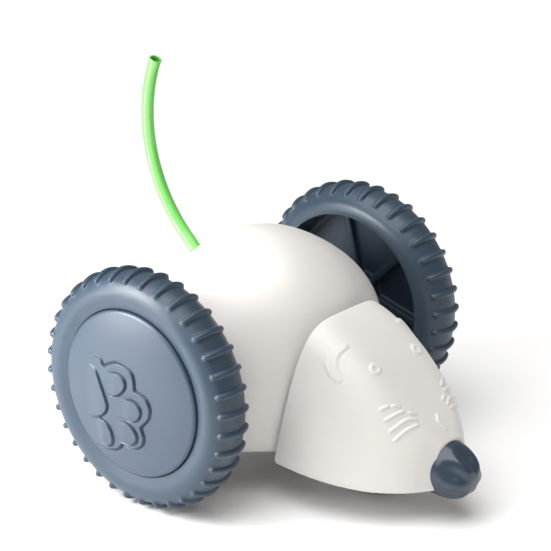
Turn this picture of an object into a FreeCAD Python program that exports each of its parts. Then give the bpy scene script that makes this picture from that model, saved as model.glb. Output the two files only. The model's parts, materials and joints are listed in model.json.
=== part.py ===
"""Clockwork mouse: a pull-back toy on two ribbed wheels, as a parametric FreeCAD document.

Axes: +Z up, the mouse looks along -Y, the drive axle lies along X and the mouse's left side is +X.
Origin: on the floor, under the middle of the whole object. Every piece is drawn about the drive axle's
middle and then placed at the axle's position.
"""
import FreeCAD, Part
import Sketcher
import math
import os

from FreeCAD import Placement, Rotation, Vector

X_AXIS = Vector(1, 0, 0)
Y_AXIS = Vector(0, 1, 0)
Z_AXIS = Vector(0, 0, 1)

DIMENSIONS = {
    # where the drive axle stands in the object's frame
    "axle_height": 32.5, "axle_back": 16.9,
    # body: an upright cylinder under a dome, with a round hip on each side
    "body_radius": 28.6, "body_middle": -2.2, "dome_base": 3.0, "belly_level": -21.0,
    "shell_wall": 2.0, "hip_radius": 24.0, "hip_middle": 15.6, "hip_drop": -2.0, "hip_end": 36.5,
    "post_radius": 3.0, "post_offset": 16.0, "post_height": 26.0,
    # belly plate and its screws
    "plate_front": -22.6, "plate_thickness": 2.0, "screw_radius": 1.1, "screw_length": 9.0,
    "screw_head_radius": 2.2, "screw_head_height": 1.2,
    # drive axle, bushes, nuts
    "axle_radius": 1.5, "axle_end": 50.2, "running_gap": 0.05, "bush_radius": 4.0, "bush_start": 32.5,
    "flange_radius": 5.5, "flange_end": 37.5, "nut_radius": 3.2,
    # wheel centre, as distances along and from the axle
    "hub_start": 38.4, "hub_radius": 5.0, "web_start": 46.8, "web_end": 48.6, "barrel_start": 38.2,
    "barrel_inside": 24.4, "barrel_outside": 26.4, "spoke_start": 44.5, "spoke_end": 25.4,
    "spoke_width": 2.0, "spoke_count": 6, "spoke_turn": 15.0,
    # tyre
    "tyre_start": 37.2, "shoulder_start": 39.9, "shoulder_end": 48.9, "shoulder_radius": 29.8,
    "tyre_end": 50.4, "inner_wall_arc": 7.0, "crown_arc": 7.1, "outer_wall_arc": 9.0,
    "rib_count": 36, "rib_width_angle": 3.1, "rib_turn": 6.5, "rib_start": 39.5, "rib_end": 49.3,
    "rib_end_radius": 30.4, "rib_root": 29.0, "rib_arc": 6.8,
    # hub cap and its raised paw
    "cap_radius": 22.5, "cap_edge": 51.3, "cap_face": 52.1, "cap_face_radius": 21.7, "cap_edge_arc": 0.9,
    "cap_crown": 52.7, "pocket_radius": 4.2, "pocket_depth_end": 50.7, "paw_start": 51.2,
    "paw_height": 1.8, "pad_radius": 5.4, "toe_radius": 2.9, "ridge": 0.8,
    "pad_back": -8.6, "pad_up": -0.5, "toe_1_back": -2.4, "toe_1_up": 5.6, "toe_2_back": 3.9,
    "toe_2_up": 2.9, "toe_3_back": 3.9, "toe_3_up": -3.9, "toe_4_back": -2.4, "toe_4_up": -6.6,
    # head: half-width and top level at six stations from the rim to the snout
    "head_base": -23.5, "head_exponent": 5.1, "head_taper": 0.13, "head_rise": 2.5,
    "sleeve_wall": 1.6, "core_wall": 2.0, "core_back": -16.0, "neck_inset": 4.4,
    "rim_foot": -24.0, "rim_lean": 9.5,
    "station_1": -23.5, "width_1": 21.5, "top_1": 17.2,
    "station_2": -36.0, "width_2": 22.4, "top_2": 13.7,
    "station_3": -46.0, "width_3": 21.2, "top_3": 7.3,
    "station_4": -55.0, "width_4": 17.7, "top_4": -1.0,
    "station_5": -61.5, "width_5": 12.3, "top_5": -7.3,
    "station_6": -66.2, "width_6": 7.4, "top_6": -11.8,
    # nose
    "nose_level": -19.0, "nose_back": -66.2, "nose_tip": -75.3, "nose_radius": 8.0, "nose_depth": 8.8,
    "stem_radius": 3.0, "stem_end": -58.7,
    # tail: root on the back, straight part over the peg, then one arc
    "tail_root_back": 21.6, "tail_root_up": 19.0, "tail_lean": 43.0, "tail_straight": 6.0,
    "tail_arc": 43.2, "tail_sweep": 69.7, "tail_radius": 1.75, "tail_bore": 1.25, "tail_gap": 0.6,
    "peg_radius": 1.2, "peg_length": 5.5, "peg_inside": 4.6, "collar_radius": 3.0, "collar_start": 3.0,
    # front roller in its fork
    "roller_radius": 5.0, "roller_width": 5.0, "roller_place": -42.0, "roller_level": -27.5,
    "roller_pin_radius": 0.9, "fork_half_width": 5.4, "fork_half_length": 6.9, "fork_top": -19.9,
    "fork_roof": -21.9, "fork_base": -24.3, "fork_gap": 2.75, "ear_radius": 2.2, "slot_gap": 0.1,
    # gear train
    "module_size": 0.6, "axle_teeth": 14, "wheel_teeth": 32, "pinion_teeth": 12, "drum_teeth": 36,
    "tooth_gap": 0.12, "pressure_angle": 20.0, "tooth_tip": 0.75, "tooth_root": 1.0,
    "compound_back": 5.0, "drum_bearing": 189.0, "train_start": -7.0, "train_step": -4.2,
    "pinion_end": -0.4, "drum_gear_start": -3.8, "drum_gear_end": -0.8, "drum_end": 6.0,
    "cover_end": 7.0, "drum_radius": 10.0, "drum_cavity": 8.8, "drum_floor": -2.8, "arbor_radius": 2.0,
    "compound_pin_radius": 1.0, "spring_start_radius": 2.6, "spring_strip": 0.3, "spring_turns": 5,
    "spring_side_gap": 0.3,
    # motor case
    "case_left": 8.6, "case_right": -8.4, "case_split": 0.5, "case_wall": 1.0, "drum_room": 11.9,
    "compound_room": 10.8, "axle_room": 5.4, "foot_half_length": 5.0, "foot_top": -6.0,
    "case_screw_radius": 0.9, "case_screw_side": 2.8, "case_screw_level": -12.0,
    "foot_screw_left": 5.0, "foot_screw_right": -4.6, "foot_screw_length": 6.0,
}
STATION_COUNT = 6
TOE_COUNT = 4
SECTION_STEPS = 12
FLANK_STEPS = 5

doc = FreeCAD.newDocument("clockwork_mouse")
sheet = doc.addObject("Spreadsheet::Sheet", "dims")
for row, (alias, number) in enumerate(DIMENSIONS.items(), start=1):
    sheet.set(f"A{row}", alias)
    sheet.set(f"B{row}", str(number))
    sheet.setAlias(f"B{row}", alias)
doc.recompute()

pieces = []


def size(alias):
    """The number held by one cell of the sheet."""
    return float(sheet.get(alias))


def at(alias):
    """The expression that reads one cell of the sheet."""
    return f"dims.{alias}"


def bind(item, **expressions):
    """Binds properties of an object to expressions; a double underscore stands for a dot."""
    for name, expression in expressions.items():
        item.setExpression(name.replace("__", "."), expression)
    return item


def keep(item, label, rotation=Rotation()):
    """Names a finished piece and places it at the drive axle."""
    item.Label = label
    item.Placement = Placement(Vector(0, size("axle_back"), size("axle_height")), rotation)
    bind(item, Placement__Base__y=at("axle_back"), Placement__Base__z=at("axle_height"))
    pieces.append(item)
    return item


def rod(name, radius, start, end, back="0", up="0"):
    """A cylinder along X from start to end, its middle line at (back, up)."""
    item = doc.addObject("Part::Cylinder", name)
    item.Placement = Placement(Vector(0, 0, 0), Rotation(Y_AXIS, 90))
    return bind(item, Radius=radius, Height=f"({end}) - ({start})", Placement__Base__x=start,
                Placement__Base__y=back, Placement__Base__z=up)


def post(name, radius, low, high, side="0", back="0"):
    """A cylinder along Z from low to high, standing at (side, back)."""
    item = doc.addObject("Part::Cylinder", name)
    return bind(item, Radius=radius, Height=f"({high}) - ({low})", Placement__Base__x=side,
                Placement__Base__y=back, Placement__Base__z=low)


def ball(name, radius, side, back, up):
    """A sphere of the given radius about (side, back, up)."""
    item = doc.addObject("Part::Sphere", name)
    return bind(item, Radius=radius, Placement__Base__x=side, Placement__Base__y=back,
                Placement__Base__z=up)


def block(name, low, high):
    """A box between two corners, each given as three expressions."""
    item = doc.addObject("Part::Box", name)
    for length, axis, first, last in zip(("Length", "Width", "Height"), "xyz", low, high):
        item.setExpression(length, f"({last}) - ({first})")
        item.setExpression(f"Placement.Base.{axis}", first)
    return item


def fuse(name, items):
    """One solid made of several that overlap or touch."""
    item = doc.addObject("Part::MultiFuse", name)
    item.Shapes = items
    item.Refine = True
    return item


def cut(name, base, tool):
    """The base with the tool's volume taken away."""
    item = doc.addObject("Part::Cut", name)
    item.Base = base
    item.Tool = tool
    item.Refine = True
    return item


def common(name, items):
    """The volume that the items share."""
    item = doc.addObject("Part::MultiCommon", name)
    item.Shapes = items
    return item


def shape_feature(name, shape):
    """A document object holding a shape made by Part's own functions."""
    item = doc.addObject("Part::Feature", name)
    item.Shape = shape
    return item


def keep_rod(name, label, radius, reach, back, up):
    """A plain rod along X, even to both sides, kept as a finished piece."""
    item = rod(name, radius, f"-{reach}", reach, f"{at('axle_back')} + {back}", f"{at('axle_height')} + {up}")
    item.Label = label
    pieces.append(item)
    return item


# ---------------------------------------------------------------- PartDesign helpers

def origin_plane(body, role):
    """The body's own origin plane with the given role."""
    for feature in body.Origin.OriginFeatures:
        if feature.Role == role:
            return feature
    raise ValueError(role)


def bind_distance(sketch, kind, geometry, point, alias):
    """Holds one coordinate of a sketch point at a sheet value."""
    value = 0.0 if alias == "zero" else size(alias)
    index = sketch.addConstraint(Sketcher.Constraint(kind, -1, 1, geometry, point, value))
    if alias != "zero":
        sketch.setExpression(f"Constraints[{index}]", at(alias))


def outline_sketch(body, name, corners, arcs=None):
    """A closed outline on the body's XY plane.

    corners holds (x alias, y alias); arcs maps a corner's number to (radius alias, bulge side) for the
    stretch that leaves that corner, with side +1 for an arc bulging to the left of travel.
    """
    arcs = arcs or {}
    sketch = body.newObject("Sketcher::SketchObject", name)
    sketch.AttachmentSupport = (origin_plane(body, "XY_Plane"), [""])
    sketch.MapMode = "FlatFace"
    points = [Vector(*[0.0 if alias == "zero" else size(alias) for alias in corner], 0) for corner in corners]
    count = len(points)
    for number, start in enumerate(points):
        end = points[(number + 1) % count]
        if number in arcs:
            alias, side = arcs[number]
            chord = end - start
            half = chord.Length / 2
            sagitta = size(alias) - math.sqrt(size(alias) ** 2 - half ** 2)
            normal = Vector(-chord.y, chord.x, 0).normalize()
            middle = (start + end) * 0.5 + normal * (sagitta * side)
            sketch.addGeometry(Part.Arc(start, middle, end), False)
        else:
            sketch.addGeometry(Part.LineSegment(start, end), False)
    turned = {number for number in arcs if arcs[number][1] > 0}

    def ends(number):
        """The sketch point numbers at the start and end of a stretch."""
        return (2, 1) if number in turned else (1, 2)

    for number in range(count):
        following = (number + 1) % count
        sketch.addConstraint(Sketcher.Constraint("Coincident", number, ends(number)[1],
                                                 following, ends(following)[0]))
    for number, corner in enumerate(corners):
        bind_distance(sketch, "DistanceX", number, ends(number)[0], corner[0])
        bind_distance(sketch, "DistanceY", number, ends(number)[0], corner[1])
    for number, (alias, side) in arcs.items():
        index = sketch.addConstraint(Sketcher.Constraint("Radius", number, size(alias)))
        sketch.setExpression(f"Constraints[{index}]", at(alias))
    return sketch


def revolve(body, name, sketch, angle=360.0):
    """A revolution of a sketch about its horizontal axis, even to both sides of the sketch."""
    feature = body.newObject("PartDesign::Revolution", name)
    feature.Profile = sketch
    feature.ReferenceAxis = (sketch, ["H_Axis"])
    feature.Angle = angle
    feature.Midplane = True
    sketch.Visibility = False
    return feature


def polar(body, name, feature, sketch, count):
    """Copies of a feature all round the horizontal axis of a sketch."""
    pattern = body.newObject("PartDesign::PolarPattern", name)
    pattern.Originals = [feature]
    pattern.Axis = (sketch, ["H_Axis"])
    pattern.Angle = 360.0
    pattern.setExpression("Occurrences", at(count))
    body.Tip = pattern
    return pattern


def wheel_turn(side, degrees):
    """Turns a wheel piece about the axle.

    The right wheel is a left one turned half round, and then set to the same angle as the left one.
    """
    if side == "left":
        return Rotation(X_AXIS, degrees)
    return Rotation(Z_AXIS, 180) * Rotation(X_AXIS, -degrees)


# ---------------------------------------------------------------- wheels

def make_rim(side):
    """Wheel centre: hub, web and barrel turned in one, with six thin spokes on the open side."""
    body = doc.addObject("PartDesign::Body", f"RimBody_{side}")
    profile = outline_sketch(body, f"RimProfile_{side}", [
        ("hub_start", "axle_radius"), ("hub_start", "hub_radius"), ("web_start", "hub_radius"),
        ("web_start", "barrel_inside"), ("barrel_start", "barrel_inside"), ("barrel_start", "barrel_outside"),
        ("web_end", "barrel_outside"), ("web_end", "axle_radius")])
    revolve(body, f"RimTurned_{side}", profile)
    spoke_sketch = outline_sketch(body, f"SpokeOutline_{side}", [
        ("spoke_start", "bush_radius"), ("spoke_start", "spoke_end"), ("web_end", "spoke_end"),
        ("web_end", "bush_radius")])
    spoke = body.newObject("PartDesign::Pad", f"Spoke_{side}")
    spoke.Profile = spoke_sketch
    spoke.Midplane = True
    spoke.setExpression("Length", at("spoke_width"))
    spoke_sketch.Visibility = False
    polar(body, f"Spokes_{side}", spoke, profile, "spoke_count")
    return keep(body, f"rim_{side}", wheel_turn(side, size("spoke_turn")))


def make_tyre(side):
    """Tyre: rounded walls and crown, with a rib across the tread every ten degrees."""
    body = doc.addObject("PartDesign::Body", f"TyreBody_{side}")
    profile = outline_sketch(body, f"TyreProfile_{side}", [
        ("tyre_start", "barrel_inside"), ("shoulder_start", "shoulder_radius"),
        ("shoulder_end", "shoulder_radius"), ("tyre_end", "cap_radius"), ("web_end", "cap_radius"),
        ("web_end", "barrel_outside"), ("barrel_start", "barrel_outside"), ("barrel_start", "barrel_inside")],
        {0: ("inner_wall_arc", 1), 1: ("crown_arc", 1), 2: ("outer_wall_arc", 1)})
    revolve(body, f"TyreTurned_{side}", profile)
    rib_sketch = outline_sketch(body, f"RibProfile_{side}", [
        ("rib_start", "rib_root"), ("rib_start", "rib_end_radius"), ("rib_end", "rib_end_radius"),
        ("rib_end", "rib_root")], {1: ("rib_arc", 1)})
    rib = revolve(body, f"Rib_{side}", rib_sketch)
    rib.setExpression("Angle", at("rib_width_angle"))
    polar(body, f"Ribs_{side}", rib, profile, "rib_count")
    return keep(body, f"tyre_{side}", wheel_turn(side, size("rib_turn")))


def make_hub_cap(side):
    """Hub cap: slightly domed disc with a pocket for the axle nut and a raised paw outline."""
    body = doc.addObject("PartDesign::Body", f"CapBody_{side}")
    profile = outline_sketch(body, f"CapProfile_{side}", [
        ("pocket_depth_end", "zero"), ("pocket_depth_end", "pocket_radius"), ("web_end", "pocket_radius"),
        ("web_end", "cap_radius"), ("cap_edge", "cap_radius"), ("cap_face", "cap_face_radius"),
        ("cap_crown", "zero")], {4: ("cap_edge_arc", -1)})
    revolve(body, f"CapTurned_{side}", profile)
    paw_sketch = body.newObject("Sketcher::SketchObject", f"PawRings_{side}")
    paw_sketch.AttachmentSupport = (origin_plane(body, "YZ_Plane"), [""])
    paw_sketch.MapMode = "FlatFace"
    paw_sketch.setExpression("AttachmentOffset.Base.z", at("paw_start"))
    discs = [("pad_back", "pad_up", "pad_radius")]
    discs += [(f"toe_{number}_back", f"toe_{number}_up", "toe_radius") for number in range(1, TOE_COUNT + 1)]
    for back, up, radius in discs:
        for expression, reach in ((at(radius), size(radius)),
                                  (f"{at(radius)} - {at('ridge')}", size(radius) - size("ridge"))):
            circle = Part.Circle(Vector(size(back), size(up), 0), Z_AXIS, reach)
            geometry = paw_sketch.addGeometry(circle, False)
            index = paw_sketch.addConstraint(Sketcher.Constraint("Radius", geometry, reach))
            paw_sketch.setExpression(f"Constraints[{index}]", expression)
            bind_distance(paw_sketch, "DistanceX", geometry, 3, back)
            bind_distance(paw_sketch, "DistanceY", geometry, 3, up)
    paw = body.newObject("PartDesign::Pad", f"Paw_{side}")
    paw.Profile = paw_sketch
    paw.setExpression("Length", at("paw_height"))
    paw_sketch.Visibility = False
    return keep(body, f"hub_cap_{side}", wheel_turn(side, 0))


for wheel_side in ("left", "right"):
    make_rim(wheel_side)
    make_tyre(wheel_side)
    make_hub_cap(wheel_side)

keep_rod("DriveAxle", "drive_axle", at("axle_radius"), at("axle_end"), "0", "0")


def make_nut(name, start, end):
    """A hexagonal nut on the axle between two places along X."""
    nut = doc.addObject("Part::Prism", name)
    nut.Polygon = 6
    nut.Placement = Placement(Vector(0, 0, 0), Rotation(Y_AXIS, 90))
    bind(nut, Circumradius=at("nut_radius"), Height=f"({end}) - ({start})", Placement__Base__x=start)
    return cut(f"{name}Bored", nut, rod(f"{name}Bore", at("axle_radius"), start, end))


left_nut = make_nut("LeftNut", at("web_end"), at("axle_end"))
right_nut = make_nut("RightNut", f"-{at('axle_end')}", f"-{at('web_end')}")
wheel_nuts = doc.addObject("Part::Compound", "WheelNuts")
wheel_nuts.Links = [left_nut, right_nut]
keep(wheel_nuts, "wheel_nuts")


# ---------------------------------------------------------------- body

def body_form(name, inset):
    """The body's outer form, or with an inset the form inside its wall."""
    radius = f"{at('body_radius')} - {inset}"
    hip = f"{at('hip_radius')} - {inset}"
    end = f"({at('hip_end')} - {inset})"
    reach = at("body_radius")
    dome = ball(f"{name}Dome", radius, "0", at("body_middle"), at("dome_base"))
    barrel = post(f"{name}Barrel", radius, at("belly_level"), at("dome_base"), back=at("body_middle"))
    hips = [ball(f"{name}Hip{mark}", hip, f"{sign}{at('hip_middle')}", "0", at("hip_drop"))
            for mark, sign in (("Left", ""), ("Right", "-"))]
    round_form = fuse(f"{name}Round", [dome, barrel] + hips)
    slab = block(f"{name}Slab", (f"-{end}", f"-2 * {reach}", at("belly_level")),
                 (end, f"2 * {reach}", f"2 * {reach}"))
    return common(f"{name}Form", [round_form, slab])


def corner_posts(name, radius, low, high):
    """Four upright cylinders at the screw places."""
    offset = at("post_offset")
    places = [(f"{across}{offset}", f"{at('body_middle')} {along} {offset}")
              for across in ("", "-") for along in ("+", "-")]
    return [post(f"{name}{number}", radius, low, high, side, back)
            for number, (side, back) in enumerate(places, start=1)]


plate_top = f"({at('belly_level')} + {at('plate_thickness')})"
inner_form = body_form("Inside", at("shell_wall"))
shell_walls = cut("ShellWalls", body_form("Outside", "0"), inner_form)
post_room = common("PostRoom", [body_form("PostLimit", at("shell_wall")),
                                fuse("PostGroup", corner_posts("Post", at("post_radius"), plate_top,
                                                               f"{plate_top} + 2 * {at('post_height')}"))])
reach = at("hip_end")
front_ledge = common("FrontLedge", [body_form("LedgeLimit", at("shell_wall")),
                                    block("LedgeLayer", (f"-{reach}", f"-{reach}", at("belly_level")),
                                          (reach, at("plate_front"), plate_top))])
shell_blank = fuse("ShellBlank", [shell_walls, post_room, front_ledge])
lean = math.radians(size("tail_lean"))
tail_way = Vector(0, math.cos(lean), math.sin(lean))
tail_root = Vector(0, size("tail_root_back"), size("tail_root_up"))


def along_tail(name, radius, start, end):
    """A cylinder on the tail's root line between two distances from the root."""
    item = doc.addObject("Part::Cylinder", name)
    item.Placement = Placement(tail_root, Rotation(Z_AXIS, tail_way))
    return bind(item, Radius=radius, Height=f"({end}) - ({start})",
                Placement__Base__y=f"{at('tail_root_back')} + ({start}) * cos({at('tail_lean')} * 1deg)",
                Placement__Base__z=f"{at('tail_root_up')} + ({start}) * sin({at('tail_lean')} * 1deg)")


shell_cuts = fuse("ShellCuts", [
    rod("BushSeats", at("bush_radius"), f"-{at('hip_end')} - 1", f"{at('hip_end')} + 1"),
    along_tail("PegSeat", at("peg_radius"), f"-{at('peg_inside')}", "2")]
    + corner_posts("Pilot", at("screw_radius"), plate_top, f"{at('belly_level')} + {at('screw_length')}"))
keep(cut("BodyShell", shell_blank, shell_cuts), "body_shell")

tail_peg = fuse("TailPeg", [
    along_tail("Peg", at("peg_radius"), f"-{at('peg_inside')}", at("peg_length")),
    along_tail("Collar", at("collar_radius"), f"-{at('peg_inside')}", f"-{at('collar_start')}")])
keep(tail_peg, "tail_peg")

foot_screws = (("Left", "foot_screw_left"), ("Right", "foot_screw_right"))
head_top = f"({at('belly_level')} + {at('screw_head_height')})"
plate_holes = corner_posts("PlateHole", at("screw_radius"), at("belly_level"), plate_top)
plate_holes += corner_posts("PlateSink", at("screw_head_radius"), at("belly_level"), head_top)
plate_holes += [post(f"FootHole{mark}", at("screw_radius"), at("belly_level"), plate_top, side=at(alias))
                for mark, alias in foot_screws]
plate_holes += [post(f"FootSink{mark}", at("screw_head_radius"), at("belly_level"), head_top, side=at(alias))
                for mark, alias in foot_screws]
plate_blank = common("PlateBlank", [body_form("PlateLimit", at("shell_wall")),
                                    block("PlateLayer", (f"-{reach}", at("plate_front"), at("belly_level")),
                                          (reach, reach, plate_top))])
keep(cut("BellyPlate", plate_blank, fuse("PlateHoles", plate_holes)), "belly_plate")

screws = [fuse(f"BellyScrew{number}", [shank, head]) for number, (shank, head) in enumerate(zip(
    corner_posts("Shank", at("screw_radius"), at("belly_level"),
                 f"{at('belly_level')} + {at('screw_length')}"),
    corner_posts("ScrewHead", at("screw_head_radius"), at("belly_level"), head_top)), start=1)]
belly_screws = doc.addObject("Part::Compound", "BellyScrews")
belly_screws.Links = screws
keep(belly_screws, "belly_screws")


def make_bush(side, mark):
    """Flanged bush in a hip, with running clearance round the axle; mark is - on the right side."""
    def bush_rod(name, radius, inner, outer):
        """A cylinder between two distances out from the middle, on the bush's own side."""
        ends = (f"{mark}{at(inner)}", f"{mark}{at(outer)}")
        return rod(f"{name}_{side}", radius, *(reversed(ends) if mark else ends))

    blank = fuse(f"BushBlank_{side}", [
        bush_rod("BushSleeve", at("bush_radius"), "bush_start", "hip_end"),
        bush_rod("BushFlange", at("flange_radius"), "hip_end", "flange_end")])
    bore = bush_rod("BushBore", f"{at('axle_radius')} + {at('running_gap')}", "bush_start", "flange_end")
    return keep(cut(f"Bush_{side}", blank, bore), f"axle_bush_{side}")


make_bush("left", "")
make_bush("right", "-")


# ---------------------------------------------------------------- head

def head_section(place, inset, station):
    """The head's cross-section at one station: a flat base under steep, slightly leaning sides."""
    width = size(f"width_{station}") - inset
    base = size("head_base") + inset
    rise = size(f"top_{station}") - inset - base
    side = []
    for step in range(SECTION_STEPS):
        level = math.sin(math.pi / 2 * step / SECTION_STEPS)
        spread = (1 - level ** size("head_rise")) ** (1 / size("head_exponent"))
        side.append(Vector(width * spread * (1 - size("head_taper") * level), place, base + rise * level))
    side.append(Vector(0, place, base + rise))
    mirrored = [Vector(-point.x, point.y, point.z) for point in reversed(side[:-1])]
    arch = Part.BSplineCurve()
    arch.interpolate(side + mirrored)
    floor = Part.LineSegment(mirrored[-1], side[0])
    return Part.Wire([arch.toShape(), floor.toShape()])


def head_form(inset, back, last_inset, last_station=STATION_COUNT):
    """The head's form, inset from its surface, running from back to last_inset short of a station."""
    sections = [head_section(back, inset, 1)] if back > size("station_1") else []
    for number in range(1, last_station):
        sections.append(head_section(size(f"station_{number}"), inset, number))
    sections.append(head_section(size(f"station_{last_station}") + last_inset, inset, last_station))
    return Part.makeLoft(sections, True, False)


slot_side = size("fork_half_width") + size("slot_gap")
slot_back = size("fork_half_length") + size("slot_gap")
slot = Part.makeBox(2 * slot_side, 2 * slot_back, size("fork_top") - size("head_base") + 2,
                    Vector(-slot_side, size("roller_place") - slot_back, size("head_base") - 2))
stem_hole = Part.makeCylinder(size("stem_radius"), size("stem_end") - size("nose_back") + 2,
                              Vector(0, size("nose_back") - 2, size("nose_level")), Y_AXIS)
outer_skin = head_form(0, size("station_1"), 0)
core_skin = head_form(size("sleeve_wall"), size("core_back"), size("sleeve_wall"))
core_inset = size("sleeve_wall") + size("core_wall")
core_room = head_form(core_inset, size("core_back") + 1, core_inset, STATION_COUNT - 1)
neck_skin = head_form(size("neck_inset"), size("core_back"), 0, 2)
neck_room = head_form(size("neck_inset") + size("core_wall"), size("core_back") + 1, 0, 2)
body_solid = Part.makeSphere(size("body_radius"), Vector(0, size("body_middle"), size("dome_base")))
body_solid = body_solid.fuse(Part.makeCylinder(
    size("body_radius"), size("dome_base") - size("head_base") + 4,
    Vector(0, size("body_middle"), size("head_base") - 4)))
for sign in (1, -1):
    hip_place = Vector(sign * size("hip_middle"), 0, size("hip_drop"))
    body_solid = body_solid.fuse(Part.makeSphere(size("hip_radius"), hip_place))
rim_reach = 4 * size("width_1")
behind_rim = Part.makeBox(rim_reach, rim_reach, rim_reach, Vector(-rim_reach / 2, 0, -rim_reach / 2))
behind_rim.rotate(Vector(0, 0, 0), X_AXIS, size("rim_lean"))
behind_rim.translate(Vector(0, size("rim_foot"), size("head_base")))

sleeve_shape = outer_skin.cut(core_skin).cut(body_solid).cut(behind_rim).cut(slot).cut(stem_hole)
keep(shape_feature("HeadSleeve", max(sleeve_shape.Solids, key=lambda solid: solid.Volume)), "head_sleeve")
# inside the sleeve the core fills it; behind the rim only a narrower neck runs on into the body
core_blank = core_skin.cut(behind_rim).fuse(neck_skin)
behind_wall = behind_rim.translated(Vector(0, -size("core_wall"), 0))
core_hollow = core_room.cut(behind_wall).fuse(neck_room)
core_shape = core_blank.cut(core_hollow).cut(body_solid).cut(slot).cut(stem_hole)
keep(shape_feature("HeadCore", max(core_shape.Solids, key=lambda solid: solid.Volume)), "head_core")


knob = doc.addObject("Part::Ellipsoid", "NoseKnob")
knob.Angle1 = -90
bind(knob, Radius1=at("nose_radius"), Radius2=at("nose_radius"), Radius3=at("nose_depth"),
     Placement__Base__y=f"{at('nose_tip')} + {at('nose_depth')}", Placement__Base__z=at("nose_level"))
nose_reach = f"2 * {at('nose_radius')}"
nose_front = block("NoseFront", (f"-{nose_reach}", f"2 * {at('nose_tip')}", f"3 * {at('nose_level')}"),
                   (nose_reach, at("nose_back"), nose_reach))
stem = doc.addObject("Part::Cylinder", "NoseStem")
stem.Placement = Placement(Vector(0, 0, 0), Rotation(X_AXIS, 90))
bind(stem, Radius=at("stem_radius"), Height=f"{at('stem_end')} - {at('nose_back')} + 1",
     Placement__Base__y=at("stem_end"), Placement__Base__z=at("nose_level"))
keep(fuse("Nose", [common("NoseDome", [knob, nose_front]), stem]), "nose")


# ---------------------------------------------------------------- tail

def make_tail():
    """Tail: one hollow tube, straight over the peg and then curved up in a single arc."""
    start = tail_root + tail_way * size("tail_gap")
    bend = tail_root + tail_way * size("tail_straight")
    centre = bend + Vector(0, -math.sin(lean), math.cos(lean)) * size("tail_arc")

    def solid_rod(radius):
        """A solid rod of the given radius along the tail's line."""
        straight = Part.Face(Part.Wire(Part.makeCircle(radius, start, tail_way))).extrude(bend - start)
        curved = Part.Face(Part.Wire(Part.makeCircle(radius, bend, tail_way))).revolve(
            centre, X_AXIS, size("tail_sweep"))
        return straight.fuse(curved)

    tube = solid_rod(size("tail_radius")).cut(solid_rod(size("tail_bore")))
    return keep(shape_feature("TailTube", tube.removeSplitter()), "tail_tube")


make_tail()


# ---------------------------------------------------------------- front roller

roller_ends = (f"-{at('roller_width')} / 2", f"{at('roller_width')} / 2")
roller_line = (at("roller_place"), at("roller_level"))
roller = cut("Roller", rod("RollerBlank", at("roller_radius"), *roller_ends, *roller_line),
             rod("RollerBore", f"{at('roller_pin_radius')} + {at('running_gap')}",
                 *roller_ends, *roller_line))
keep(roller, "front_roller")
keep_rod("RollerPin", "roller_pin", at("roller_pin_radius"), at("fork_half_width"), *roller_line)

fork_back = f"({at('roller_place')} + {at('fork_half_length')})"
fork_front = f"({at('roller_place')} - {at('fork_half_length')})"
fork_side = at("fork_half_width")
fork_blank = fuse("ForkBlank", [
    block("ForkBase", (f"-{fork_side}", fork_front, at("fork_base")), (fork_side, fork_back, at("fork_top"))),
    block("ForkEars", (f"-{fork_side}", f"{at('roller_place')} - {at('ear_radius')}", at("roller_level")),
          (fork_side, f"{at('roller_place')} + {at('ear_radius')}", at("fork_base"))),
    rod("ForkEarEnds", at("ear_radius"), f"-{fork_side}", fork_side, *roller_line)])
fork_room = fuse("ForkRoom", [
    block("ForkGap", (f"-{at('fork_gap')}", fork_front, f"{at('roller_level')} - 2 * {at('ear_radius')}"),
          (at("fork_gap"), fork_back, at("fork_roof"))),
    rod("ForkPinHole", at("roller_pin_radius"), f"-{fork_side}", fork_side, *roller_line)])
keep(cut("RollerFork", fork_blank, fork_room), "roller_fork")


# ---------------------------------------------------------------- gear train

def gear_wire(teeth, turn):
    """Outline of a spur gear about the origin in the YZ plane, one tooth centred at the angle turn.

    The flanks are involutes of a circle, and the teeth are low.
    """
    pressure = math.radians(size("pressure_angle"))
    pitch = size("module_size") * teeth / 2
    base = pitch * math.cos(pressure)
    tip = pitch + size("tooth_tip") * size("module_size")
    root = pitch - size("tooth_root") * size("module_size")
    half_tooth = (math.pi * size("module_size") / 2 - size("tooth_gap")) / (2 * pitch)
    half_at_base = half_tooth + math.tan(pressure) - pressure

    def polar_point(radius, angle):
        """A point of the YZ plane at a radius and an angle from the Y axis."""
        return Vector(0, radius * math.cos(angle), radius * math.sin(angle))

    def flank_angle(radius):
        """Half the tooth's angle at a radius, from the involute function."""
        slope = math.acos(min(1.0, base / radius))
        return half_at_base - (math.tan(slope) - slope)

    low = max(base, root)
    radii = [low + (tip - low) * step / FLANK_STEPS for step in range(FLANK_STEPS + 1)]
    step_angle = 2 * math.pi / teeth
    edges = []
    for number in range(teeth):
        middle = turn + number * step_angle
        rising = [polar_point(radius, middle - flank_angle(radius)) for radius in radii]
        falling = [polar_point(radius, middle + flank_angle(radius)) for radius in reversed(radii)]
        foot_in = polar_point(root, middle - flank_angle(low))
        foot_out = polar_point(root, middle + flank_angle(low))
        next_foot = polar_point(root, middle + step_angle - flank_angle(low))
        up_curve = Part.BSplineCurve()
        up_curve.interpolate(rising)
        down_curve = Part.BSplineCurve()
        down_curve.interpolate(falling)
        if low > root:
            edges.append(Part.LineSegment(foot_in, rising[0]).toShape())
        edges.append(up_curve.toShape())
        edges.append(Part.Arc(rising[-1], polar_point(tip, middle), falling[0]).toShape())
        edges.append(down_curve.toShape())
        if low > root:
            edges.append(Part.LineSegment(falling[-1], foot_out).toShape())
        edges.append(Part.Arc(foot_out, polar_point(root, middle + step_angle / 2), next_foot).toShape())
    return Part.Wire(edges)


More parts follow.
